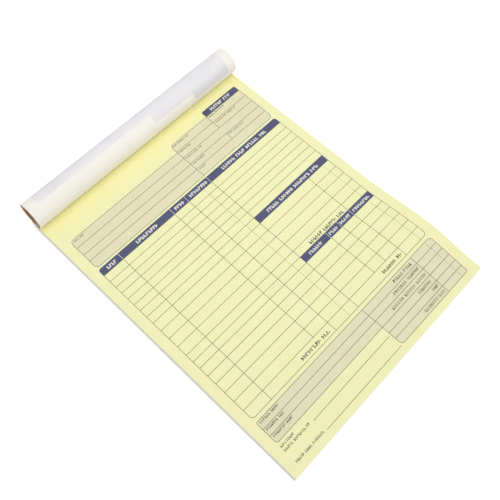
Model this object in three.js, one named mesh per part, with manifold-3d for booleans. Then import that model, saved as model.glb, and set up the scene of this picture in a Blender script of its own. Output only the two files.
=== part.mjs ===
// Duplicate invoice book, top bound, with the first white form and the cover rolled up on the binding.
// Frame: X across the sheets, Y up the page to the binding, Z up. Millimetres.
import * as THREE from 'three';
import { mergeVertices } from 'three/addons/utils/BufferGeometryUtils.js';
import Module from 'manifold-3d';

const wasm = await Module();
wasm.setup();

// Sheets
const SHEET_W = 215.9;
const LEAF_L = 269.9;
const STUB_L = 9.5;
const SHEET_T = 0.09;
const COVER_T = 0.25;
const BOARD_T = 1.2;
const SETS_IN_BOOK = 50;
const SETS_PER_GATHERING = 2;
const SHEETS_PER_SET = 2;

// Perforation
const TEAR_GAP = 0.4;
const SLIT_L = 2.3;
const SLIT_W = 0.26;
const SLIT_PITCH = 3.55;
const SLIT_MARGIN = 2.0;

// Binding
const TAPE_T = 0.2;
const TAPE_FRONT = 7.6;
const TAPE_BACK = 22.0;
const REBATE_GAP = 0.3;
const STAPLE_W = 12.7;
const STAPLE_COUNT = 3;
const STAPLE_PITCH = 74;
const STAPLE_FROM_EDGE = 5.4;
const WIRE_W = 0.6;
const WIRE_T = 0.5;
const WIRE_BEND = 0.45;
const BEND_STEPS = 4;
const CLINCH_L = 4.6;
const CLINCH_RECESS = 0.06;
const WIRE_CLEARANCE = 0.3;

// Roll: it stands on the wire crowns, its axis behind the tear line
const ROLL_R = 12.2;
const ROLL_BEHIND_TEAR = 6.5;
const ROLL_SEAT_GAP = 0.3;
const LAYER_GAP = 0.31;
const ROOT_LIFT = 0.1;
const COVER_STUB_SETBACK = 0.6;
const STEPS_PER_TURN = 44;

// Modelling
const PAST = 1;
const MERGE_WITHIN = 1e-4;

// Places up the page, from its lower edge
const TEAR_Y = LEAF_L;
const LEAF_TOP = TEAR_Y - TEAR_GAP / 2;
const STUB_LOW = TEAR_Y + TEAR_GAP / 2;
const TOP_Y = TEAR_Y + STUB_L;
const STAPLE_Y = TOP_Y - STAPLE_FROM_EDGE;
const LEG_OFFSET = STAPLE_W / 2 - WIRE_W / 2;

// Levels, from the table up
const GATHERING_T = SETS_PER_GATHERING * SHEETS_PER_SET * SHEET_T;
const GATHERINGS = SETS_IN_BOOK / SETS_PER_GATHERING - 1;
const CANARY_2_Z = BOARD_T + GATHERINGS * GATHERING_T;
const WHITE_2_Z = CANARY_2_Z + SHEET_T;
const CANARY_1_Z = WHITE_2_Z + SHEET_T;
const WHITE_1_Z = CANARY_1_Z + SHEET_T;
const COVER_Z = WHITE_1_Z + SHEET_T;
const TAPE_Z = COVER_Z + COVER_T;
const CROWN_Z = TAPE_Z + TAPE_T;

// The roll's spacing from turn to turn, and its axis
const TURN_PITCH = SHEET_T + COVER_T + 2 * LAYER_GAP;
const ROLL_Y = TEAR_Y + ROLL_BEHIND_TEAR;
const ROLL_Z = CROWN_Z + WIRE_T + ROLL_SEAT_GAP + ROLL_R - TURN_PITCH;

const paints = {
  white_paper: 0xf3f2ee,
  canary_paper: 0xf3f0b6,
  gathered_paper: 0xf2f0d2,
  kraft_card: 0x8a6240,
  chipboard: 0xa89c88,
  binding_tape: 0x2c3440,
  wire: 0xb9bcc0,
};

function node(name, geometry, paint) {
  const made = new THREE.MeshStandardMaterial({ color: paints[paint], roughness: 0.8 });
  made.name = paint;
  const mesh = new THREE.Mesh(geometry, made);
  mesh.name = name;
  return mesh;
}

function tidy(geometry) {
  geometry.deleteAttribute('normal');
  geometry.deleteAttribute('uv');
  return mergeVertices(geometry, MERGE_WITHIN);
}

// Solids and what is cut from them

// A box whose faces lie exactly at the given numbers, so that sheets touch face to face
function box(x0, y0, z0, x1, y1, z1) {
  const geometry = tidy(new THREE.BoxGeometry(2, 2, 2));
  const place = geometry.attributes.position;
  for (let i = 0; i < place.count; i += 1) {
    const x = place.getX(i) < 0 ? x0 : x1;
    const y = place.getY(i) < 0 ? y0 : y1;
    const z = place.getZ(i) < 0 ? z0 : z1;
    place.setXYZ(i, x, y, z);
  }
  return geometry;
}

function solid(geometry) {
  return new wasm.Manifold(new wasm.Mesh({
    numProp: 3,
    vertProperties: new Float32Array(geometry.attributes.position.array),
    triVerts: new Uint32Array(geometry.index.array),
  }));
}

function surface(body) {
  const made = body.getMesh();
  const geometry = new THREE.BufferGeometry();
  geometry.setAttribute('position', new THREE.BufferAttribute(new Float32Array(made.vertProperties), 3));
  geometry.setIndex(new THREE.BufferAttribute(new Uint32Array(made.triVerts), 1));
  return mergeVertices(geometry, MERGE_WITHIN);
}

function without(geometry, cutters) {
  const all = cutters.map(solid).reduce((joined, next) => joined.add(next));
  return surface(solid(geometry).subtract(all));
}

// Middles of the two legs of each staple
function legMiddles() {
  return stapleMiddles().flatMap((x) => [x - LEG_OFFSET, x + LEG_OFFSET]);
}

function stapleMiddles() {
  const first = (-(STAPLE_COUNT - 1) * STAPLE_PITCH) / 2;
  return Array.from({ length: STAPLE_COUNT }, (unused, i) => first + i * STAPLE_PITCH);
}

// Middles of the cuts along the tear line
function slitMiddles() {
  const reach = SHEET_W / 2 - SLIT_MARGIN - SLIT_L / 2;
  const count = Math.floor((2 * reach) / SLIT_PITCH) + 1;
  const first = (-(count - 1) * SLIT_PITCH) / 2;
  return Array.from({ length: count }, (unused, i) => first + i * SLIT_PITCH);
}

// Shafts for the wire legs through whatever lies between two levels
function legShafts(z0, z1) {
  const half = WIRE_W / 2 + WIRE_CLEARANCE;
  return legMiddles().map((x) => box(x - half, STAPLE_Y - half, z0, x + half, STAPLE_Y + half, z1));
}

// The row of cuts, from y0 to y1 up the page
function slits(y0, y1, z0, z1) {
  return slitMiddles().map((x) => box(x - SLIT_L / 2, y0, z0, x + SLIT_L / 2, y1, z1));
}

// Plates, each from one edge up to another and lying at a level

function plate(y0, y1, z, thickness) {
  return box(-SHEET_W / 2, y0, z, SHEET_W / 2, y1, z + thickness);
}

function boundPlate(z, thickness) {
  return without(plate(0, TOP_Y, z, thickness), legShafts(z - PAST, z + thickness + PAST));
}

function perforatedSheet(z) {
  const [z0, z1] = [z - PAST, z + SHEET_T + PAST];
  const cuts = slits(TEAR_Y - SLIT_W / 2, TEAR_Y + SLIT_W / 2, z0, z1);
  return without(plate(0, TOP_Y, z, SHEET_T), [...legShafts(z0, z1), ...cuts]);
}

function tornStub(z) {
  const [z0, z1] = [z - PAST, z + SHEET_T + PAST];
  const nicks = slits(STUB_LOW - PAST, STUB_LOW + SLIT_W, z0, z1);
  return without(plate(STUB_LOW, TOP_Y, z, SHEET_T), [...legShafts(z0, z1), ...nicks]);
}

function tornLeaf(z) {
  const nicks = slits(LEAF_TOP - SLIT_W, LEAF_TOP + PAST, z - PAST, z + SHEET_T + PAST);
  return without(plate(0, LEAF_TOP, z, SHEET_T), nicks);
}

function coverStub(z) {
  const low = STUB_LOW + COVER_STUB_SETBACK;
  return without(plate(low, TOP_Y, z, COVER_T), legShafts(z - PAST, z + COVER_T + PAST));
}

// Things drawn in Y and Z and carried across the sheet

function across(outline, width) {
  const shape = new THREE.Shape(outline.map(([y, z]) => new THREE.Vector2(y, z)));
  const geometry = new THREE.ExtrudeGeometry(shape, { depth: width, bevelEnabled: false });
  const axes = [new THREE.Vector3(0, 1, 0), new THREE.Vector3(0, 0, 1), new THREE.Vector3(1, 0, 0)];
  geometry.applyMatrix4(new THREE.Matrix4().makeBasis(...axes));
  geometry.translate(-width / 2, 0, 0);
  return tidy(geometry);
}

// Two lines half a thickness to each side of a line, joined into an outline
function thickened(line, thickness) {
  const left = [];
  const right = [];
  line.forEach(([y, z], i) => {
    const before = line[Math.max(i - 1, 0)];
    const after = line[Math.min(i + 1, line.length - 1)];
    const run = Math.hypot(after[0] - before[0], after[1] - before[1]);
    const offY = (-(after[1] - before[1]) / run) * (thickness / 2);
    const offZ = ((after[0] - before[0]) / run) * (thickness / 2);
    left.push([y + offY, z + offZ]);
    right.push([y - offY, z - offZ]);
  });
  return [...left, ...right.reverse()];
}

// Where the middle line of the white form rises from the tear line
const ROOT = [LEAF_TOP, WHITE_1_Z + SHEET_T / 2 + ROOT_LIFT];

// Angle round the axis, from straight below it towards the page, at which the rising form meets its roll
function meetingAngle() {
  const [behind, below] = [ROLL_Y - ROOT[0], ROLL_Z - ROOT[1]];
  return Math.atan2(behind, below) + Math.acos((ROLL_R - SHEET_T / 2) / Math.hypot(behind, below));
}

// The middle line of a sheet that rises straight from the tear line and winds up inside its own first turn.
// depth is how far the line lies inside the white form's.
function woundLine(depth) {
  const start = meetingAngle();
  const firstR = ROLL_R - SHEET_T / 2 - depth;
  const at = (angle, r) => [ROLL_Y - r * Math.sin(angle), ROLL_Z - r * Math.cos(angle)];
  const root = [ROOT[0] + depth * Math.sin(start), ROOT[1] + depth * Math.cos(start)];
  const meeting = at(start, firstR);
  const inward = TURN_PITCH / (2 * Math.PI);
  // The length wound in an angle is firstR * angle - inward * angle ** 2 / 2
  const woundLength = LEAF_L - Math.hypot(meeting[0] - root[0], meeting[1] - root[1]);
  const wound = (firstR - Math.sqrt(firstR ** 2 - 2 * inward * woundLength)) / inward;
  const steps = Math.ceil((wound / (2 * Math.PI)) * STEPS_PER_TURN);
  const line = [root];
  for (let i = 0; i <= steps; i += 1) {
    const angle = (wound * i) / steps;
    line.push(at(start + angle, firstR - inward * angle));
  }
  return line;
}

// Least distance from the points of one line to another line, or to the other turns of the same one
function leastDistance(points, line) {
  let least = Infinity;
  points.forEach(([py, pz], i) => {
    for (let j = 1; j < line.length; j += 1) {
      if (points === line && Math.abs(i - j) < STEPS_PER_TURN / 2) continue;
      const [ay, az] = line[j - 1];
      const [by, bz] = line[j];
      const along = ((py - ay) * (by - ay) + (pz - az) * (bz - az)) / ((by - ay) ** 2 + (bz - az) ** 2);
      const share = THREE.MathUtils.clamp(along, 0, 1);
      least = Math.min(least, Math.hypot(py - ay - share * (by - ay), pz - az - share * (bz - az)));
    }
  });
  return least;
}

function woundSheet(name, line, thickness) {
  const gap = leastDistance(line, line) - thickness;
  console.log(`${name}: least gap to itself ${gap.toFixed(2)} mm`);
  return across(thickened(line, thickness), SHEET_W);
}

// Points of a quarter turn about a middle, from an angle in quarter turns
function quarter(middleX, middleZ, r, from) {
  return Array.from({ length: BEND_STEPS + 1 }, (unused, i) => {
    const angle = (from + i / BEND_STEPS) * (Math.PI / 2);
    return [middleX + r * Math.cos(angle), middleZ + r * Math.sin(angle)];
  });
}

// A flat crown, two legs and two clinched ends, as one outline in X and Z
function staple(x) {
  const half = STAPLE_W / 2;
  const low = CLINCH_RECESS;
  const top = CROWN_Z + WIRE_T;
  const outside = [
    [half - CLINCH_L, low + WIRE_T],
    [half - CLINCH_L, low],
    ...quarter(half - WIRE_BEND, low + WIRE_BEND, WIRE_BEND, -1),
    ...quarter(half - WIRE_BEND, top - WIRE_BEND, WIRE_BEND, 0),
  ];
  const inside = [
    [half - WIRE_W, CROWN_Z],
    [half - WIRE_W, low + WIRE_T],
  ];
  const mirrored = (list) => list.map(([px, pz]) => [-px, pz]).reverse();
  const outline = [...outside, ...mirrored(outside), ...mirrored(inside), ...inside];
  const shape = new THREE.Shape(outline.map(([px, pz]) => new THREE.Vector2(px, pz)));
  const geometry = new THREE.ExtrudeGeometry(shape, { depth: WIRE_W, bevelEnabled: false });
  geometry.rotateX(Math.PI / 2);
  geometry.translate(x, STAPLE_Y + WIRE_W / 2, 0);
  return tidy(geometry);
}

// Shafts for the legs up to the given height, and the pocket that each clinched end lies in
function wireWays(shaftTop) {
  const half = WIRE_W / 2 + WIRE_CLEARANCE;
  const roof = CLINCH_RECESS + WIRE_T;
  const pockets = legMiddles().map((x, i) => {
    const inward = i % 2 === 0 ? 1 : -1;
    const outer = x - inward * half;
    const tip = x + inward * (CLINCH_L - WIRE_W / 2 + WIRE_CLEARANCE);
    return box(Math.min(outer, tip), STAPLE_Y - half, -PAST, Math.max(outer, tip), STAPLE_Y + half, roof);
  });
  return [...legShafts(-PAST, shaftTop), ...pockets];
}

function backBoard() {
  const rebateY = TOP_Y - TAPE_BACK - REBATE_GAP;
  const outline = [
    [0, 0],
    [rebateY, 0],
    [rebateY, TAPE_T],
    [TOP_Y, TAPE_T],
    [TOP_Y, BOARD_T],
    [0, BOARD_T],
  ];
  return without(across(outline, SHEET_W), wireWays(BOARD_T + PAST));
}

function bindingTape() {
  const outline = [
    [TOP_Y - TAPE_BACK, 0],
    [TOP_Y + TAPE_T, 0],
    [TOP_Y + TAPE_T, TAPE_Z + TAPE_T],
    [TOP_Y - TAPE_FRONT, TAPE_Z + TAPE_T],
    [TOP_Y - TAPE_FRONT, TAPE_Z],
    [TOP_Y, TAPE_Z],
    [TOP_Y, TAPE_T],
    [TOP_Y - TAPE_BACK, TAPE_T],
  ];
  return without(across(outline, SHEET_W), wireWays(CROWN_Z + PAST));
}

// The book

const book = new THREE.Group();
book.name = 'duplicate_invoice_book';

book.add(node('back_board', backBoard(), 'chipboard'));

for (let i = 0; i < GATHERINGS; i += 1) {
  const fromTop = GATHERINGS - 1 - i;
  const first = SETS_PER_GATHERING * (fromTop + 1) + 1;
  const label = String(first).padStart(2, '0');
  const last = String(first + SETS_PER_GATHERING - 1).padStart(2, '0');
  const geometry = boundPlate(BOARD_T + i * GATHERING_T, GATHERING_T);
  book.add(node(`sets_${label}_${last}`, geometry, 'gathered_paper'));
}

const whiteLine = woundLine(0);
const coverLine = woundLine((SHEET_T + COVER_T) / 2 + LAYER_GAP);
const between = leastDistance(coverLine, whiteLine) - (SHEET_T + COVER_T) / 2;
console.log(`cover to the white form: least gap ${between.toFixed(2)} mm`);

book.add(node('set_02_canary', perforatedSheet(CANARY_2_Z), 'canary_paper'));
book.add(node('set_02_white', perforatedSheet(WHITE_2_Z), 'white_paper'));
book.add(node('set_01_canary_stub', tornStub(CANARY_1_Z), 'canary_paper'));
book.add(node('set_01_canary_leaf', tornLeaf(CANARY_1_Z), 'canary_paper'));
book.add(node('set_01_white_stub', tornStub(WHITE_1_Z), 'white_paper'));
book.add(node('set_01_white_roll', woundSheet('white form', whiteLine, SHEET_T), 'white_paper'));
book.add(node('cover_stub', coverStub(COVER_Z), 'kraft_card'));
book.add(node('cover_roll', woundSheet('cover', coverLine, COVER_T), 'kraft_card'));
book.add(node('binding_tape', bindingTape(), 'binding_tape'));

stapleMiddles().forEach((x, i) => book.add(node(`staple_${i + 1}`, staple(x), 'wire')));

// The origin is under the middle of the whole, roll included
const reach = new THREE.Box3().setFromObject(book);
book.position.y = -(reach.min.y + reach.max.y) / 2;

export default book;
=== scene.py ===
"""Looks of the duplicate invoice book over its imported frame, in millimetres unless a name says metres."""
import math
import random

import bmesh
import bpy
from mathutils import Matrix, Vector
from mathutils.geometry import delaunay_2d_cdt


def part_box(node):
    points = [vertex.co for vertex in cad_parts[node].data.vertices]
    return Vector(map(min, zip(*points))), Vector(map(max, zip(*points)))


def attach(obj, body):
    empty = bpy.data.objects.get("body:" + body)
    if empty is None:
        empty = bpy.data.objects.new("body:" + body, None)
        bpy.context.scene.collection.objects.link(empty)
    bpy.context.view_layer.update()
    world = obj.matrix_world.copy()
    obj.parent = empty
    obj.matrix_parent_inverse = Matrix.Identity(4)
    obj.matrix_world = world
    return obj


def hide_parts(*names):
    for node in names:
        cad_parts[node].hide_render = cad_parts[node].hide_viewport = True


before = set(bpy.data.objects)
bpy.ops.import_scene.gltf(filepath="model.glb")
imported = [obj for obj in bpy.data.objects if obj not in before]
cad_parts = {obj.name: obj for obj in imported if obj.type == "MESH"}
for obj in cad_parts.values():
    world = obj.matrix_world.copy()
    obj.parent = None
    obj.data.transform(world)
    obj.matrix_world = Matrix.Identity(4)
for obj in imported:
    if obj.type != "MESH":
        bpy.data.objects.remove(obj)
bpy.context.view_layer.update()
MM = 0.001

# Sizes shared with the solids
SHEET_W = 215.9
LEAF_L = 269.9
STUB_L = 9.5
SHEET_T = 0.09
COVER_T = 0.25
TEAR_GAP = 0.4
ROLL_R = 12.2
ROLL_BEHIND_TEAR = 6.5
LAYER_GAP = 0.31
TURN_PITCH = SHEET_T + COVER_T + 2 * LAYER_GAP
ROOT_LIFT = 0.1
WIRE_T = 0.5
ROLL_SEAT_GAP = 0.3
LEFT_X = -SHEET_W / 2
BOTTOM_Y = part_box("set_01_canary_leaf")[0][1] / MM
TEAR_Y = BOTTOM_Y + LEAF_L
PAGE_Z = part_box("set_01_canary_leaf")[1][2] / MM
CROWN_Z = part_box("binding_tape")[1][2] / MM
ROLL_Y = TEAR_Y + ROLL_BEHIND_TEAR
ROLL_Z = CROWN_Z + WIRE_T + ROLL_SEAT_GAP + ROLL_R - TURN_PITCH


# Camera, as fitted to the page edges and the ruled table

SENSOR_W = 36.0
LENS = 47.9
CLIP_START_METRES = 0.01
CAMERA_TURN = -49.22
CAMERA_TILT = 25.05
CAMERA_ROLL = 3.06
CAMERA_X = -172.4
CAMERA_BEFORE_PAGE = 3.9
CAMERA_ABOVE_PAGE = 469.15


def add_camera():
    data = bpy.data.cameras.new("camera")
    data.sensor_fit = "HORIZONTAL"
    data.sensor_width = SENSOR_W
    data.lens = LENS
    data.clip_start = CLIP_START_METRES
    camera = bpy.data.objects.new("camera", data)
    bpy.context.scene.collection.objects.link(camera)
    turn = Matrix.Rotation(math.radians(CAMERA_TURN), 4, "Z")
    tilt = Matrix.Rotation(math.radians(CAMERA_TILT), 4, "X")
    roll = Matrix.Rotation(math.radians(CAMERA_ROLL), 4, "Z")
    spot = Vector((CAMERA_X, BOTTOM_Y - CAMERA_BEFORE_PAGE, CAMERA_ABOVE_PAGE + PAGE_Z))
    camera.matrix_world = Matrix.Translation(spot * MM) @ turn @ tilt @ roll
    bpy.context.scene.camera = camera


add_camera()


# Materials

def srgb(code):
    parts = [int(code[i : i + 2], 16) / 255 for i in (0, 2, 4)]
    return tuple(c / 12.92 if c <= 0.04045 else ((c + 0.055) / 1.055) ** 2.4 for c in parts) + (1.0,)


class Paint:
    """A principled material whose colour and bump come from noise."""

    def __init__(self, name, roughness=0.8, specular=0.25):
        self.material = bpy.data.materials.new(name)
        self.material.use_nodes = True
        self.tree = self.material.node_tree
        self.shader = self.tree.nodes["Principled BSDF"]
        self.shader.inputs["Roughness"].default_value = roughness
        self.shader.inputs["Specular IOR Level"].default_value = specular
        self.coordinates = self.tree.nodes.new("ShaderNodeTexCoord").outputs["Object"]

    def link(self, a, b):
        self.tree.links.new(a, b)

    def stretched(self, scale):
        node = self.tree.nodes.new("ShaderNodeMapping")
        node.inputs["Scale"].default_value = scale
        self.link(self.coordinates, node.inputs["Vector"])
        return node.outputs["Vector"]

    def noise(self, scale, detail=4.0, stretch=(1, 1, 1), distortion=0.0):
        node = self.tree.nodes.new("ShaderNodeTexNoise")
        node.inputs["Scale"].default_value = scale
        node.inputs["Detail"].default_value = detail
        node.inputs["Distortion"].default_value = distortion
        self.link(self.stretched(stretch), node.inputs["Vector"])
        return node.outputs["Fac"]

    def along_y(self, low_metres, high_metres):
        """Rises from 0 to 1 between two places on the y axis."""
        split = self.tree.nodes.new("ShaderNodeSeparateXYZ")
        self.link(self.coordinates, split.inputs[0])
        spread = self.tree.nodes.new("ShaderNodeMapRange")
        spread.inputs["From Min"].default_value = low_metres
        spread.inputs["From Max"].default_value = high_metres
        self.link(split.outputs["Y"], spread.inputs["Value"])
        return spread.outputs["Result"]

    def ramp(self, value, stops):
        node = self.tree.nodes.new("ShaderNodeValToRGB")
        elements = node.color_ramp.elements
        while len(elements) < len(stops):
            elements.new(0.5)
        for element, (position, code) in zip(elements, stops):
            element.position = position
            element.color = srgb(code)
        self.link(value, node.inputs["Fac"])
        return node.outputs["Color"]

    def mix(self, factor, a, b):
        node = self.tree.nodes.new("ShaderNodeMix")
        node.data_type = "RGBA"
        if isinstance(factor, float):
            node.inputs["Factor"].default_value = factor
        else:
            self.link(factor, node.inputs["Factor"])
        self.link(a, node.inputs["A"])
        self.link(b, node.inputs["B"])
        return node.outputs["Result"]

    def colour(self, value):
        self.link(value, self.shader.inputs["Base Color"])

    def bump(self, height, strength, metres):
        node = self.tree.nodes.new("ShaderNodeBump")
        node.inputs["Strength"].default_value = strength
        node.inputs["Distance"].default_value = metres
        self.link(height, node.inputs["Height"])
        self.link(node.outputs["Normal"], self.shader.inputs["Normal"])


# Length of page before the tear line over which the canary paper is painted a deeper yellow, a painted glow
# of light bounced between the roll and the page
BOUNCE_GLOW_L = 22.0


def paper(name, light, dark, roughness=0.82, through=None, painted_bounce_glow=None):
    """Uncoated paper: cloudy formation, fine fibres and a faint tooth.

    Where given, it fades in patches to the tone through, and towards the tear line it turns to two deeper
    tones: a painted glow of light bounced between the roll and the page.
    """
    paint = Paint(name, roughness, specular=0.2)
    cloud = paint.noise(90.0, detail=5.0)
    fibre = paint.noise(900.0, detail=6.0, stretch=(1.0, 0.35, 1.0), distortion=0.6)
    clouds = paint.ramp(cloud, [(0.3, dark), (0.7, light)])
    fibres = paint.ramp(fibre, [(0.35, dark), (0.65, light)])
    whole = paint.mix(0.4, clouds, fibres)
    if through:
        patches = paint.noise(35.0, detail=3.0, distortion=0.8)
        faded = paint.ramp(patches, [(0.35, through), (0.65, light)])
        whole = paint.mix(0.7, whole, faded)
    # Painted light: the deeper yellow towards the tear line stands for light bounced between the roll and
    # the page.
    if painted_bounce_glow:
        bounce_glow_light, bounce_glow_dark = painted_bounce_glow
        deep = paint.ramp(fibre, [(0.35, bounce_glow_dark), (0.65, bounce_glow_light)])
        glow_share = paint.along_y((TEAR_Y - BOUNCE_GLOW_L) * MM, TEAR_Y * MM)
        whole = paint.mix(glow_share, whole, deep)
    paint.colour(whole)
    paint.bump(fibre, strength=0.12, metres=0.00004)
    return paint.material


def ink(name, light, dark):
    """Offset ink on paper: a little uneven where the fibres show through."""
    paint = Paint(name, roughness=0.6, specular=0.3)
    grain = paint.noise(1600.0, detail=5.0)
    paint.colour(paint.ramp(grain, [(0.35, dark), (0.7, light)]))
    paint.bump(grain, strength=0.1, metres=0.00003)
    return paint.material


# The canary paper carries a painted glow of bounced light near the tear line.
canary = paper("canary_paper", "F4F3BF", "EFEEB7", painted_bounce_glow=("FAF5B2", "F5F0AA"))
canary_screen = paper("canary_screen", "E7E3C0", "DFDBB8")
canary_bar = ink("canary_bar_ink", "565A79", "4D506E")
canary_rule = ink("canary_rule_ink", "5F5E4A", "52513E")
canary_dots = ink("canary_dot_ink", "8A8962", "7A7955")
canary_label = ink("canary_label_ink", "4E4D40", "424135")
canary_reversed = paper("canary_reversed_marks", "F2F0E3", "EAE8DB")
white_paper = paper("white_paper", "F4F1EA", "F0ECE5")
white_screen = paper("white_screen", "DEDCE2", "D6D4DC")
white_bar = ink("white_bar_ink", "47508C", "3E477C")
white_rule = ink("white_rule_ink", "8187A6", "747A9A")
ghost_bar = paper("ghost_bar", "DADADE", "D4D4D9", through="E2E1E5")
ghost_edge = paper("ghost_edge", "DFDEE3", "DAD9DF", through="E7E6EA")
ghost_screen = paper("ghost_screen", "E5E3E6", "E1DFE3", through="ECEAEA")
ghost_rule = paper("ghost_rule", "E3E2E8", "DFDEE5", through="EEECED")
kraft = paper("kraft_card", "C49868", "B48959", roughness=0.75)
chipboard = paper("chipboard", "A79F90", "8F877A")

FORM_ON_CANARY = {
    "paper": canary,
    "screen": canary_screen,
    "bar": canary_bar,
    "rule": canary_rule,
    "dots": canary_dots,
    "reversed": canary_reversed,
    "label": canary_label,
}
FORM_ON_WHITE = {
    "paper": white_paper,
    "screen": white_screen,
    "bar": white_bar,
    "rule": white_rule,
    "dots": white_rule,
    "reversed": white_paper,
    "label": white_rule,
}
GHOST_OF_FORM = {
    "paper": white_paper,
    "screen": ghost_screen,
    "bar": ghost_bar,
    "edge": ghost_edge,
    "rule": ghost_rule,
    "dots": ghost_rule,
    "reversed": ghost_bar,
    "label": ghost_rule,
}


# The form: everything printed, from the page's left and lower edges

RULE_W = 0.38
THIN_RULE_W = 0.3
DOT_L = 1.0
DOT_PITCH = 1.7
LEAST_W = 0.05
CORNER_R = 3.2
HEADER_CORNER_R = 2.4
TITLE_CORNER_R = 1.8
SMALL_CORNER_R = 1.6
LOWER_LEFT_CORNER_R = 2.2

# Main table
TABLE_LEFT = 8.9
TABLE_RIGHT = 206.8
HEADER_TOP = 210.3
HEADER_BASE = 203.6
HEADER_OVERHANG = 0.2
SHORT_ROWS = [6.9, 6.6, 6.5, 6.9, 6.8, 6.6, 7.1, 6.9]
ROW_HEIGHTS = SHORT_ROWS + [8.5, 8.5, 8.9, 9.1, 7.1, 6.8, 8.0, 8.1, 9.0, 9.0, 9.1, 8.8]
COLUMN_QUANTITY = 28.4
COLUMN_MATERIAL = 82.9
COLUMN_UNIT = 98.9
COLUMN_CENTS = 114.9
COLUMN_HALF = 124.3
COLUMN_HOURS = 153.9
COLUMN_RATE = 167.4
COLUMN_TOTAL = 182.1
COLUMN_TOTAL_CENTS = 199.8
UPPER_BAR_ROW = 7
LOWER_BAR_ROW = 13

# Shaded blocks above the table, with the title bar on the right one
UPPER_LEFT = 9.4
UPPER_LEFT_BASE = 212.2
UPPER_LEFT_TOP = 243.8
UPPER_LEFT_RULES = (235.9, 227.8, 220.7)
UPPER_RIGHT_BASE = 212.6
UPPER_RIGHT_TOP = 252.4
UPPER_RIGHT_RULES = (244.5, 236.6, 228.5, 221.2)
UPPER_DIVIDER = 166.6
TITLE_TOP = 258.5

# Shaded blocks under the table
LOWER_LEFT = 8.8
LOWER_RIGHT = 206.3
LOWER_TOP = 44.9
LOWER_LEFT_BASE = 25.2
LOWER_LEFT_RULES = (38.3, 32.0)
LOWER_RIGHT_BASE = 6.5
LOWER_RIGHT_RULES = (38.4, 32.1, 25.2, 18.9, 12.9)

# Lines to sign on: where each starts and ends, and its height on the page
SIGNATURE_LINES = ((37.6, 122.6, 17.3), (39.7, 123.4, 6.4))

# Rows of marks that fill the places of wording: where they start and end, and their foot where it varies
HEADING_H = 3.0
SMALL_HEADING_H = 2.8
HEADER_FOOT = 1.7
BAR_FOOT = 1.9
HEADER_MARKS = ((15.0, 24.6), (45.0, 68.0), (86.2, 96.8), (102.6, 121.9), (139.4, 192.4))
UPPER_BAR_MARKS = (136.4, 197.7)
LOWER_BAR_MARKS = ((131.8, 147.2), (155.4, 166.0), (168.6, 180.0), (184.4, 203.5))
TITLE_MARKS = (174.6, 199.8, 253.9)
LABEL_H = 3.0
UPPER_LABEL_H = 1.4
UPPER_LABELS = (
    (11.4, 21.2, 241.0),
    (125.6, 144.1, 249.9),
    (168.0, 186.9, 249.9),
    (125.6, 138.4, 242.0),
    (168.1, 192.0, 242.0),
    (125.6, 143.3, 234.0),
    (126.0, 139.5, 225.9),
    (167.7, 185.2, 225.9),
    (126.1, 133.6, 218.7),
)
TOTAL_LABEL_H = 2.6
TOTAL_LABEL_END = 180.4
TOTAL_LABELS = ((158.0, 40.5), (150.6, 34.1), (140.9, 27.3), (164.4, 20.9), (174.4, 14.9), (156.8, 8.5))
TOTAL_LABEL_PAIRED = 0.45
SMALL_LABEL_H = 2.0
SMALL_LABELS = ((10.6, 28.8, 42.0), (10.6, 28.8, 35.5), (10.6, 31.4, 29.1))
ABOVE_SIGNATURES = (8.8, 22.3, 20.7)
SIGNATURE_LABELS = ((8.8, 34.8, 17.2), (8.8, 37.7, 6.5))
SMALL_LABEL_PAIRED = 0.85

# Parts of a mark as shares of its height
MARK_W = (0.5, 0.78)
MARK_GAP = 0.2
MARK_ROOM = 0.5
WORD_GAP = 0.62
WORD_ROOM = 2.2
SHORT_TICK = (0.3, 0.7)
STROKE = {"reversed": 0.27, "label": 0.25}

# Least and greatest number of marks after which a word may end
WORD_MARKS = (3, 8)

# Which of two prints that overlap is seen: the one on the higher layer
FRAME_LAYER = 1.0
FILL_LAYER = 1.1
HEADER_LAYER = 2
RULE_LAYER = 3
EDGE_LAYER = 3.4
BAR_LAYER = 3.5
BAR_RULE_LAYER = 3.6
MARK_LAYER = 4
HOLE_LAYER = 9


def rows():
    heights = [HEADER_BASE]
    for step in ROW_HEIGHTS:
        heights.append(heights[-1] - step)
    return heights


ROWS = rows()
TABLE_BASE = ROWS[-1]
TABLE_LABELS = (
    (138.8, 179.7, ROWS[LOWER_BAR_ROW] + 0.9),
    (158.2, 181.4, TABLE_BASE + 2.4),
    (64.6, 96.0, TABLE_BASE + 2.2),
)

PRINT_MIDDLE = (108.0, 135.0)
PRINT_SHIFT = (-0.22, 0.18)
PRINT_SCALE = 1.0024


def onto_page(point):
    """The layout as read from the photograph, fitted to the sheet's own scale."""
    return tuple(m + (p - m) * PRINT_SCALE + d for p, m, d in zip(point, PRINT_MIDDLE, PRINT_SHIFT))


def rounded(x0, y0, x1, y1, radii, steps=6):
    """Outline of a box, anticlockwise from its lower left corner, each corner with its own radius."""
    corners = [(x0, y0, 1, 1, 180), (x1, y0, -1, 1, 270), (x1, y1, -1, -1, 0), (x0, y1, 1, -1, 90)]
    outline = []
    for (x, y, sx, sy, start), r in zip(corners, radii):
        if r <= 0:
            outline.append((x, y))
            continue
        for i in range(steps + 1):
            a = math.radians(start + 90 * i / steps)
            outline.append((x + sx * r + r * math.cos(a), y + sy * r + r * math.sin(a)))
    return outline


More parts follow.
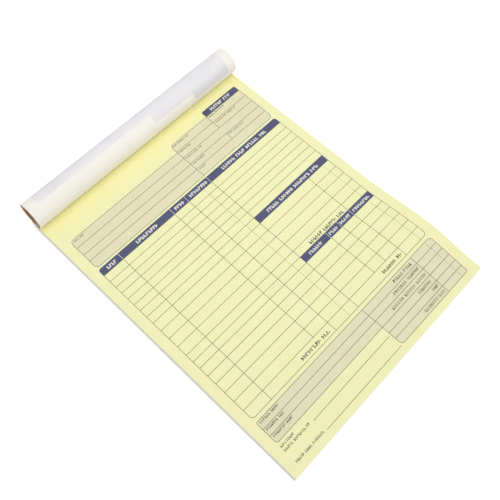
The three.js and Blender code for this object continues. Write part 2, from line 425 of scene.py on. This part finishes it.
class Form:
    """Collects flat shapes: what each is, its outline and its layer."""

    def __init__(self, seed):
        self.shapes = []
        self.random = random.Random(seed)

    def add(self, kind, outline, layer):
        self.shapes.append((kind, [onto_page(p) for p in outline], layer))

    def box(self, kind, x0, y0, x1, y1, layer, radii=(0, 0, 0, 0)):
        x0, x1 = sorted((x0, x1))
        y0, y1 = sorted((y0, y1))
        if x1 - x0 < LEAST_W or y1 - y0 < LEAST_W:
            return
        self.add(kind, rounded(x0, y0, x1, y1, radii), layer)

    def across(self, x0, x1, y):
        self.box("rule", x0, y - RULE_W / 2, x1, y + RULE_W / 2, RULE_LAYER)

    def down(self, x, y0, y1, kind="rule", width=RULE_W, layer=RULE_LAYER):
        self.box(kind, x - width / 2, y0, x + width / 2, y1, layer)

    def dotted(self, x, y0, y1):
        count = int(abs(y1 - y0) / DOT_PITCH)
        for i in range(count):
            y = min(y0, y1) + (i + 0.5) * DOT_PITCH
            self.box("dots", x - RULE_W / 2, y - DOT_L / 2, x + RULE_W / 2, y + DOT_L / 2, RULE_LAYER)

    def frame(self, x0, y0, x1, y1, radii, inside="paper"):
        """A line round a box, made of an outer and an inner outline."""
        half = RULE_W / 2
        outer = rounded(x0 - half, y0 - half, x1 + half, y1 + half, [r + half if r else 0 for r in radii])
        inner = rounded(x0 + half, y0 + half, x1 - half, y1 - half, [r - half if r else 0 for r in radii])
        self.add("rule", outer, FRAME_LAYER)
        self.add(inside, inner, FILL_LAYER)

    def marks(self, x0, x1, foot, height, kind="label", paired=1.0):
        """Upright ticks with the rhythm of a line of words: a generic filler that spells nothing."""
        x = x0
        in_word = 0
        while x < x1 - MARK_ROOM * height:
            wide = height * self.random.uniform(*MARK_W)
            if in_word > self.random.randint(*WORD_MARKS) and x1 - x > WORD_ROOM * height:
                x += WORD_GAP * height
                in_word = 0
                continue
            self.mark(x, foot, min(wide, x1 - x), height, kind, paired)
            x += wide + MARK_GAP * height
            in_word += 1

    def mark(self, x, foot, wide, height, kind, paired):
        """A full tick and a shorter one beside it, or for the unpaired share of marks one tick alone."""
        stroke = height * STROKE[kind]
        if paired < 1.0 and self.random.random() > paired:
            middle = x + wide / 2
            self.box(kind, middle - stroke / 2, foot, middle + stroke / 2, foot + height, MARK_LAYER)
            return
        self.box(kind, x, foot, x + stroke, foot + height, MARK_LAYER)
        short = height * self.random.uniform(*SHORT_TICK)
        low = foot + (height - short) * self.random.choice((0.0, 0.5, 1.0))
        self.box(kind, x + wide - stroke, low, x + wide, low + short, MARK_LAYER)


def draw_table(form):
    form.frame(TABLE_LEFT, TABLE_BASE, TABLE_RIGHT, HEADER_BASE, (CORNER_R, CORNER_R, 0, 0))
    left, right = TABLE_LEFT - HEADER_OVERHANG, TABLE_RIGHT + HEADER_OVERHANG
    header_radii = (0, 0, HEADER_CORNER_R, HEADER_CORNER_R)
    form.box("bar", left, HEADER_BASE, right, HEADER_TOP, HEADER_LAYER, header_radii)
    for x in (COLUMN_QUANTITY, COLUMN_MATERIAL, COLUMN_UNIT, COLUMN_HALF):
        form.down(x, HEADER_BASE, HEADER_TOP, "reversed", THIN_RULE_W)
    bare_on_the_right = (UPPER_BAR_ROW + 1, LOWER_BAR_ROW, LOWER_BAR_ROW + 1)
    for i, y in enumerate(ROWS[1:-1], start=1):
        form.across(TABLE_LEFT, COLUMN_HALF, y)
        if i not in bare_on_the_right:
            form.across(COLUMN_HALF, TABLE_RIGHT, y)
    last = ROWS[-2]
    form.down(COLUMN_QUANTITY, TABLE_BASE, HEADER_BASE)
    form.down(COLUMN_MATERIAL, last, HEADER_BASE)
    form.down(COLUMN_UNIT, TABLE_BASE, HEADER_BASE)
    form.down(COLUMN_HALF, TABLE_BASE, HEADER_BASE)
    form.dotted(COLUMN_CENTS, TABLE_BASE, HEADER_BASE)
    draw_right_half(form, last)


def draw_right_half(form, last):
    """The two bars inside the table's right half, their columns, and the table's headings."""
    upper_top, upper_base = ROWS[UPPER_BAR_ROW], ROWS[UPPER_BAR_ROW + 1]
    lower_top, lower_base = ROWS[LOWER_BAR_ROW], ROWS[LOWER_BAR_ROW + 1]
    form.box("bar", COLUMN_HALF, upper_base, TABLE_RIGHT, upper_top, BAR_LAYER)
    form.box("bar", COLUMN_HALF, lower_base, TABLE_RIGHT, lower_top, BAR_LAYER)
    for x in (COLUMN_HOURS, COLUMN_RATE, COLUMN_TOTAL):
        form.down(x, lower_base, lower_top, "reversed", THIN_RULE_W, BAR_RULE_LAYER)
    form.down(COLUMN_TOTAL, lower_top, upper_base)
    form.dotted(COLUMN_TOTAL_CENTS, lower_top, upper_base)
    form.down(COLUMN_HOURS, last, lower_base)
    form.down(COLUMN_RATE, last, lower_base)
    form.down(COLUMN_TOTAL, TABLE_BASE, lower_base)
    form.dotted(COLUMN_TOTAL_CENTS, TABLE_BASE, lower_base)
    for x0, x1 in HEADER_MARKS:
        form.marks(x0, x1, HEADER_BASE + HEADER_FOOT, HEADING_H, "reversed")
    form.marks(*UPPER_BAR_MARKS, upper_base + BAR_FOOT, HEADING_H, "reversed")
    for x0, x1 in LOWER_BAR_MARKS:
        form.marks(x0, x1, lower_base + BAR_FOOT, SMALL_HEADING_H, "reversed")
    for x0, x1, foot in TABLE_LABELS:
        form.marks(x0, x1, foot, LABEL_H)


def draw_upper_blocks(form):
    left_radii = (CORNER_R, 0, 0, CORNER_R)
    form.frame(UPPER_LEFT, UPPER_LEFT_BASE, COLUMN_HALF, UPPER_LEFT_TOP, left_radii, "screen")
    for y in UPPER_LEFT_RULES:
        form.across(UPPER_LEFT, COLUMN_HALF, y)
    right_radii = (0, CORNER_R, 0, CORNER_R)
    form.frame(COLUMN_HALF, UPPER_RIGHT_BASE, TABLE_RIGHT, UPPER_RIGHT_TOP, right_radii, "screen")
    for y in UPPER_RIGHT_RULES:
        form.across(COLUMN_HALF, TABLE_RIGHT, y)
    _, second, third, fourth = UPPER_RIGHT_RULES
    form.down(UPPER_DIVIDER, second, UPPER_RIGHT_TOP)
    form.down(UPPER_DIVIDER, fourth, third)
    title_radii = (0, 0, TITLE_CORNER_R, TITLE_CORNER_R)
    form.box("bar", UPPER_DIVIDER, UPPER_RIGHT_TOP, TABLE_RIGHT, TITLE_TOP, BAR_LAYER, title_radii)
    form.marks(*TITLE_MARKS, HEADING_H, "reversed")
    for x0, x1, foot in UPPER_LABELS:
        form.marks(x0, x1, foot, UPPER_LABEL_H)


def draw_lower_blocks(form):
    left_radii = (LOWER_LEFT_CORNER_R, 0, 0, SMALL_CORNER_R)
    form.frame(LOWER_LEFT, LOWER_LEFT_BASE, COLUMN_HALF, LOWER_TOP, left_radii, "screen")
    for y in LOWER_LEFT_RULES:
        form.across(LOWER_LEFT, COLUMN_HALF, y)
    right_radii = (CORNER_R, SMALL_CORNER_R, CORNER_R, 0)
    form.frame(COLUMN_HALF, LOWER_RIGHT_BASE, LOWER_RIGHT, LOWER_TOP, right_radii, "screen")
    for y in LOWER_RIGHT_RULES:
        form.across(COLUMN_HALF, LOWER_RIGHT, y)
    form.down(COLUMN_TOTAL, LOWER_RIGHT_BASE, LOWER_TOP)
    form.dotted(COLUMN_TOTAL_CENTS, LOWER_RIGHT_BASE, LOWER_TOP)
    for x0, foot in TOTAL_LABELS:
        form.marks(x0, TOTAL_LABEL_END, foot, TOTAL_LABEL_H, paired=TOTAL_LABEL_PAIRED)
    for x0, x1, foot in SMALL_LABELS:
        form.marks(x0, x1, foot, SMALL_LABEL_H, paired=SMALL_LABEL_PAIRED)


def draw_signature_lines(form):
    """Two lines to sign on, each after a row of marks, with one more row above them."""
    form.marks(*ABOVE_SIGNATURES, SMALL_LABEL_H, paired=SMALL_LABEL_PAIRED)
    for label, line in zip(SIGNATURE_LABELS, SIGNATURE_LINES):
        form.marks(*label, SMALL_LABEL_H, paired=SMALL_LABEL_PAIRED)
        form.across(*line)


def draw_form(seed=7):
    form = Form(seed)
    draw_table(form)
    draw_upper_blocks(form)
    draw_lower_blocks(form)
    draw_signature_lines(form)
    return form


# Sheets: a flat outline is cut along everything printed, given its inks and then laid or wound in space

SLIT_L = 2.3
SLIT_W = 0.26
SLIT_PITCH = 3.55
SLIT_MARGIN = 2.0
STAPLE_PITCH = 74.0
STAPLE_FROM_EDGE = 5.4
LEG_OFFSET = 6.05
LEG_HOLE_W = 1.2
WELD_L = 1e-5
# The way of triangulating that fills the whole hull of the points
WHOLE_HULL = 0


def slit_middles():
    reach = SHEET_W / 2 - SLIT_MARGIN - SLIT_L / 2
    count = int(2 * reach / SLIT_PITCH) + 1
    first = -(count - 1) * SLIT_PITCH / 2
    return [SHEET_W / 2 + first + i * SLIT_PITCH for i in range(count)]


def leaf_outline(top):
    """Anticlockwise outline of a leaf whose upper edge has the nicks of the tear line."""
    points = [(0.0, 0.0), (SHEET_W, 0.0), (SHEET_W, top)]
    for x in reversed(slit_middles()):
        x0, x1 = x - SLIT_L / 2, x + SLIT_L / 2
        points += [(x1, top), (x1, top - SLIT_W), (x0, top - SLIT_W), (x0, top)]
    points.append((0.0, top))
    return points


def cut(outline, shapes, fold_lines):
    """Triangles of the outline with each one's topmost printed shape."""
    points = []
    faces = []
    for ring in [outline] + [shape[1] for shape in shapes]:
        faces.append(list(range(len(points), len(points) + len(ring))))
        points += [Vector(p) for p in ring]
    edges = []
    for a, b in fold_lines:
        edges.append((len(points), len(points) + 1))
        points += [Vector(a), Vector(b)]
    found = delaunay_2d_cdt(points, edges, faces, WHOLE_HULL, WELD_L, True)
    verts, _, triangles, _, _, origins = found
    kept = []
    for triangle, origin in zip(triangles, origins):
        if 0 not in origin:
            continue
        covering = [shapes[i - 1] for i in origin if i > 0]
        top = max(covering, key=lambda shape: shape[2], default=None)
        kind = top[0] if top else "paper"
        if kind != "hole":
            kept.append((list(triangle), kind))
    return [(v.x, v.y) for v in verts], kept


def solid_sheet(name, verts, faces, place, back_place, inks, back):
    """A closed thin body: printed triangles in front, plain ones behind, and a rim between them."""
    names = sorted({kind for _, kind in faces})
    count = len(verts)
    points = [place(x, y) for x, y in verts] + [back_place(x, y) for x, y in verts]
    polygons = []
    slots = []
    borders = {}
    for triangle, kind in faces:
        polygons.append(triangle)
        slots.append(names.index(kind))
        polygons.append([i + count for i in reversed(triangle)])
        slots.append(len(names))
        for a, b in zip(triangle, triangle[1:] + triangle[:1]):
            if (b, a) in borders:
                del borders[(b, a)]
            else:
                borders[(a, b)] = True
    for a, b in borders:
        polygons.append([b, a, a + count, b + count])
        slots.append(len(names))
    mesh = bpy.data.meshes.new(name)
    mesh.from_pydata([Vector(p) * MM for p in points], [], polygons)
    for kind in names:
        mesh.materials.append(inks[kind])
    mesh.materials.append(back)
    mesh.polygons.foreach_set("material_index", slots)
    mesh.validate()
    mesh.update()
    made = bpy.data.objects.new(name, mesh)
    bpy.context.scene.collection.objects.link(made)
    drop_loose(made)
    return made


def drop_loose(made):
    work = bmesh.new()
    work.from_mesh(made.data)
    bmesh.ops.delete(work, geom=[v for v in work.verts if not v.link_faces], context="VERTS")
    work.to_mesh(made.data)
    work.free()


CURL_HEIGHT = 5.2
CURL_FROM_X = 128.0
CURL_MIDDLE_Y = 52.0
CURL_REACH_UP = 60.0
CURL_REACH_DOWN = 44.0
CURL_ACROSS_POWER = 1.1
CURL_ALONG_POWER = 1.5
CURL_SHARES = (1.0, 0.64, 0.36)


def curled_at(z, share):
    """A flat sheet whose right edge has come up beside the table's lower half, by a share of the curl."""
    def place(x, y):
        across = max(0.0, (x - CURL_FROM_X) / (SHEET_W - CURL_FROM_X))
        reach = CURL_REACH_UP if y > CURL_MIDDLE_Y else CURL_REACH_DOWN
        away = min(1.0, abs(y - CURL_MIDDLE_Y) / reach)
        along = math.cos(away * math.pi / 2) ** CURL_ALONG_POWER
        lift = share * CURL_HEIGHT * across**CURL_ACROSS_POWER * along
        return (LEFT_X + x, BOTTOM_Y + y, z + lift)
    return place


def lay(name, outline, shapes, top_z, share, inks, back, body, replaced):
    """A sheet in place of a packed one, printed on its upper face and curled by its share."""
    verts, faces = cut(outline, shapes, FOLDS)
    upper, lower = curled_at(top_z, share), curled_at(top_z - SHEET_T, share)
    made = solid_sheet(name, verts, faces, upper, lower, inks, back)
    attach(made, body)
    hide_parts(replaced)


LEAF_TOP = LEAF_L - TEAR_GAP / 2
SHEET_TOP = LEAF_L + STUB_L
FOLD_MARGIN = 5.0
FIRST_FOLD = 5
FOLD_STEP_Y = 5
FOLD_STEP_X = 10
FOLDS_Y = range(FIRST_FOLD, math.ceil(LEAF_L), FOLD_STEP_Y)
FOLDS_X = range(FIRST_FOLD, math.ceil(SHEET_W), FOLD_STEP_X)
FOLDS = [((-FOLD_MARGIN, y), (SHEET_W + FOLD_MARGIN, y)) for y in FOLDS_Y]
FOLDS += [((x, -FOLD_MARGIN), (x, SHEET_TOP + FOLD_MARGIN)) for x in FOLDS_X]


def whole_outline():
    return rounded(0.0, 0.0, SHEET_W, SHEET_TOP, (0, 0, 0, 0))


def hole(x, y, width, height):
    outline = rounded(x - width / 2, y - height / 2, x + width / 2, y + height / 2, (0, 0, 0, 0))
    return ("hole", outline, HOLE_LAYER)


def punched():
    """The cuts of the tear line and the holes round the wire legs."""
    holes = [hole(x, LEAF_L, SLIT_L, SLIT_W) for x in slit_middles()]
    y = SHEET_TOP - STAPLE_FROM_EDGE
    for middle in (-STAPLE_PITCH, 0.0, STAPLE_PITCH):
        for leg in (-LEG_OFFSET, LEG_OFFSET):
            holes.append(hole(SHEET_W / 2 + middle + leg, y, LEG_HOLE_W, LEG_HOLE_W))
    return holes


form = draw_form()
first_curl, second_curl, third_curl = CURL_SHARES
lay("printed_canary_page", leaf_outline(LEAF_TOP), form.shapes, PAGE_Z, first_curl,
    FORM_ON_CANARY, canary, "canary_leaf", "set_01_canary_leaf")
lay("printed_white_page", whole_outline(), form.shapes + punched(), PAGE_Z - SHEET_T, second_curl,
    FORM_ON_WHITE, white_paper, "pad", "set_02_white")
lay("next_canary_page", whole_outline(), punched(), PAGE_Z - 2 * SHEET_T, third_curl,
    FORM_ON_CANARY, canary, "pad", "set_02_canary")


# The wound pair, in the photograph a little slimmer and further back than its solids

WOUND_SLIMMER = 0.4
WOUND_FURTHER_BACK = 0.6
WOUND_STEP = 0.7
WOUND_R = ROLL_R - WOUND_SLIMMER
WOUND_Z = ROLL_Z - WOUND_SLIMMER
WOUND_Y = ROLL_Y + WOUND_FURTHER_BACK

ROOT_Y = TEAR_Y - TEAR_GAP / 2
ROOT_Z = PAGE_Z + SHEET_T / 2 + ROOT_LIFT
MID_R = WOUND_R - SHEET_T / 2


def meeting_angle():
    """Where the straight rise from the tear line touches the roll, turned from its lowest point."""
    behind, below = WOUND_Y - ROOT_Y, WOUND_Z - ROOT_Z
    return math.atan2(behind, below) + math.acos(MID_R / math.hypot(behind, below))


START = meeting_angle()
RUN = math.sqrt((WOUND_Y - ROOT_Y) ** 2 + (WOUND_Z - ROOT_Z) ** 2 - MID_R**2)
GROWTH = TURN_PITCH / (2 * math.pi)


def spiral(depth, offset):
    """Maps a distance from the tear line to a point of a sheet wound that deep inside the outer one."""
    first_r = MID_R - depth
    root = (ROOT_Y + depth * math.sin(START), ROOT_Z + depth * math.cos(START))
    meeting = (WOUND_Y - first_r * math.sin(START), WOUND_Z - first_r * math.cos(START))

    def at(s):
        if s < RUN:
            share = s / RUN
            y = root[0] * (1 - share) + meeting[0] * share
            z = root[1] * (1 - share) + meeting[1] * share
            return (y - offset * math.sin(START), z - offset * math.cos(START))
        # arc length of the spiral is first_r * a - GROWTH * a * a / 2
        a = (first_r - math.sqrt(max(first_r**2 - 2 * GROWTH * (s - RUN), 0.0))) / GROWTH
        r = first_r - GROWTH * a + offset
        return (WOUND_Y - r * math.sin(START + a), WOUND_Z - r * math.cos(START + a))

    return at


def wound_place(at):
    def place(x, y):
        wy, wz = at(LEAF_L - y)
        return (LEFT_X + x, wy, wz)
    return place


def wound(name, depth, thickness, shapes, inks, back):
    lines = []
    s = RUN
    while s < LEAF_L:
        lines.append(((-FOLD_MARGIN, LEAF_L - s), (SHEET_W + FOLD_MARGIN, LEAF_L - s)))
        s += WOUND_STEP
    verts, faces = cut(leaf_outline(LEAF_L), shapes, lines)
    outer = wound_place(spiral(depth, thickness / 2))
    inner = wound_place(spiral(depth, -thickness / 2))
    faces = [(triangle[::-1], kind) for triangle, kind in faces]
    return solid_sheet(name, verts, faces, outer, inner, inks, back)


SHOWN_THROUGH_L = 80.0
PRINT_SLIP = 3.0
SOFT_EDGE_L = 2.6


def moved_down(outline, distance):
    return [(x, y - distance) for x, y in outline]


def ghosts():
    """The print nearest the tear line as it shows through the sheet, its bars with a soft edge."""
    shown = [shape for shape in form.shapes if min(p[1] for p in shape[1]) > LEAF_L - SHOWN_THROUGH_L]
    seen = [(kind, moved_down(outline, PRINT_SLIP), layer) for kind, outline, layer in shown]
    bars = [outline for kind, outline, _ in seen if kind == "bar"]
    return seen + [("edge", moved_down(outline, SOFT_EDGE_L), EDGE_LAYER) for outline in bars]


white_roll = wound("white_form_rolled", 0.0, SHEET_T, ghosts(), GHOST_OF_FORM, white_paper)
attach(white_roll, "rolled_set")
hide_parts("set_01_white_roll")

cover_depth = (SHEET_T + COVER_T) / 2 + LAYER_GAP
cover_roll = wound("cover_rolled", cover_depth, COVER_T, [], {"paper": kraft}, kraft)
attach(cover_roll, "rolled_set")
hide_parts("cover_roll")


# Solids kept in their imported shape, given their materials

def binding_cloth():
    tape = Paint("binding_cloth", roughness=0.7, specular=0.3)
    weave = tape.noise(2600.0, detail=3.0, stretch=(1.0, 0.25, 1.0))
    tape.colour(tape.ramp(weave, [(0.35, "232B38"), (0.7, "36404F")]))
    tape.bump(weave, strength=0.3, metres=0.00006)
    return tape.material


def stitching_wire():
    steel = Paint("stitching_wire", roughness=0.32, specular=0.5)
    steel.shader.inputs["Metallic"].default_value = 1.0
    drawn = steel.noise(3000.0, detail=3.0, stretch=(1.0, 6.0, 6.0))
    steel.colour(steel.ramp(drawn, [(0.3, "B4B6BA"), (0.7, "D2D4D8")]))
    steel.bump(drawn, strength=0.1, metres=0.00002)
    return steel.material


def gathered_sheets():
    """The pile's edges: many thin sheets, white and canary in turn, a little uneven."""
    pile = Paint("gathered_sheets", roughness=0.85, specular=0.2)
    layers = pile.noise(25.0, detail=3.0, stretch=(0.6, 0.6, 90.0))
    sheets = pile.noise(60.0, detail=2.0, stretch=(0.3, 0.3, 110.0))
    broad = pile.ramp(layers, [(0.32, "E5E3CA"), (0.5, "EDECD8"), (0.68, "F0F0EE")])
    fine = pile.ramp(sheets, [(0.34, "D8D7C5"), (0.6, "F5F5EC")])
    pile.colour(pile.mix(0.45, broad, fine))
    pile.bump(sheets, strength=0.35, metres=0.00012)
    return pile.material


def repaint(nodes, material):
    for node in nodes:
        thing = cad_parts[node]
        thing.data.materials.clear()
        thing.data.materials.append(material)


repaint(["back_board"], chipboard)
repaint(["set_01_canary_stub"], canary)
repaint(["set_01_white_stub"], white_paper)
repaint(["cover_stub"], kraft)
repaint(["binding_tape"], binding_cloth())
repaint(["staple_1", "staple_2", "staple_3"], stitching_wire())
repaint([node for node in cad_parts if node.startswith("sets_")], gathered_sheets())


# Floor, lamps and world

FLOOR_REACH_METRES = 4.0
FLOOR_DROP_METRES = 0.0001
FLOOR_SHADE = (0.9, 0.9, 0.9, 1.0)
FLOOR_GLOW = 0.47
WORLD_LEVEL = 0.71
WHITE = (1.0, 1.0, 1.0, 1.0)


def join(tree, sources, node):
    """Links each output to the input of the same place in the list."""
    for i, source in enumerate(sources):
        tree.links.new(source, node.inputs[i])
    return node.outputs[0]


def largest(tree, a, b):
    node = tree.nodes.new("ShaderNodeMath")
    node.operation = "MAXIMUM"
    return join(tree, [a, b], node)


def mixed(tree, factor, a, b):
    return join(tree, [factor, a, b], tree.nodes.new("ShaderNodeMixShader"))


def emission(tree, strength):
    node = tree.nodes.new("ShaderNodeEmission")
    node.inputs["Strength"].default_value = strength
    return node.outputs[0]


def floor_material():
    """White to the camera and to glossy faces, with the object's shadow kept, and clear from below."""
    material = bpy.data.materials.new("floor")
    material.use_nodes = True
    tree = material.node_tree
    tree.nodes.clear()
    path = tree.nodes.new("ShaderNodeLightPath")
    seen = largest(tree, path.outputs["Is Camera Ray"], path.outputs["Is Glossy Ray"])
    glow = mixed(tree, seen, emission(tree, 0.0), emission(tree, FLOOR_GLOW))
    diffuse = tree.nodes.new("ShaderNodeBsdfDiffuse")
    diffuse.inputs["Color"].default_value = FLOOR_SHADE
    lit = join(tree, [diffuse.outputs[0], glow], tree.nodes.new("ShaderNodeAddShader"))
    clear = tree.nodes.new("ShaderNodeBsdfTransparent").outputs[0]
    behind = tree.nodes.new("ShaderNodeNewGeometry").outputs["Backfacing"]
    out = tree.nodes.new("ShaderNodeOutputMaterial")
    tree.links.new(mixed(tree, behind, lit, clear), out.inputs["Surface"])
    return material


def add_floor():
    reach = FLOOR_REACH_METRES
    corners = [(-reach, -reach, 0), (reach, -reach, 0), (reach, reach, 0), (-reach, reach, 0)]
    mesh = bpy.data.meshes.new("floor")
    mesh.from_pydata(corners, [], [(0, 1, 2, 3)])
    mesh.materials.append(floor_material())
    floor = bpy.data.objects.new("floor", mesh)
    bpy.context.scene.collection.objects.link(floor)
    floor.location.z = -FLOOR_DROP_METRES


def add_lamp(name, place_metres, aim_metres, size_metres, watts):
    data = bpy.data.lights.new(name, "AREA")
    data.shape = "DISK"
    data.size = size_metres
    data.energy = watts
    lamp = bpy.data.objects.new(name, data)
    bpy.context.scene.collection.objects.link(lamp)
    lamp.location = place_metres
    towards = Vector(aim_metres) - Vector(place_metres)
    lamp.rotation_euler = towards.to_track_quat("-Z", "Y").to_euler()


def background(tree, strength):
    node = tree.nodes.new("ShaderNodeBackground")
    node.inputs["Color"].default_value = WHITE
    node.inputs["Strength"].default_value = strength
    return node.outputs[0]


def add_world():
    """Lights the object at one level and is plain white where it is seen itself."""
    world = bpy.data.worlds.new("studio")
    bpy.context.scene.world = world
    world.use_nodes = True
    tree = world.node_tree
    tree.nodes.clear()
    path = tree.nodes.new("ShaderNodeLightPath")
    direct = largest(tree, path.outputs["Is Camera Ray"], path.outputs["Is Glossy Ray"])
    seen = largest(tree, direct, path.outputs["Is Transmission Ray"])
    out = tree.nodes.new("ShaderNodeOutputWorld")
    whole = mixed(tree, seen, background(tree, WORLD_LEVEL), background(tree, 1.0))
    tree.links.new(whole, out.inputs["Surface"])


add_floor()
add_world()
add_lamp("key", (0.05, 0.08, 0.6), (0.0, 0.05, 0.0), size_metres=0.35, watts=0.9)
add_lamp("fill", (0.9, -2.2, 2.2), (0.0, 0.0, 0.0), size_metres=2.0, watts=13.0)

bpy.context.scene.view_settings.view_transform = "Standard"
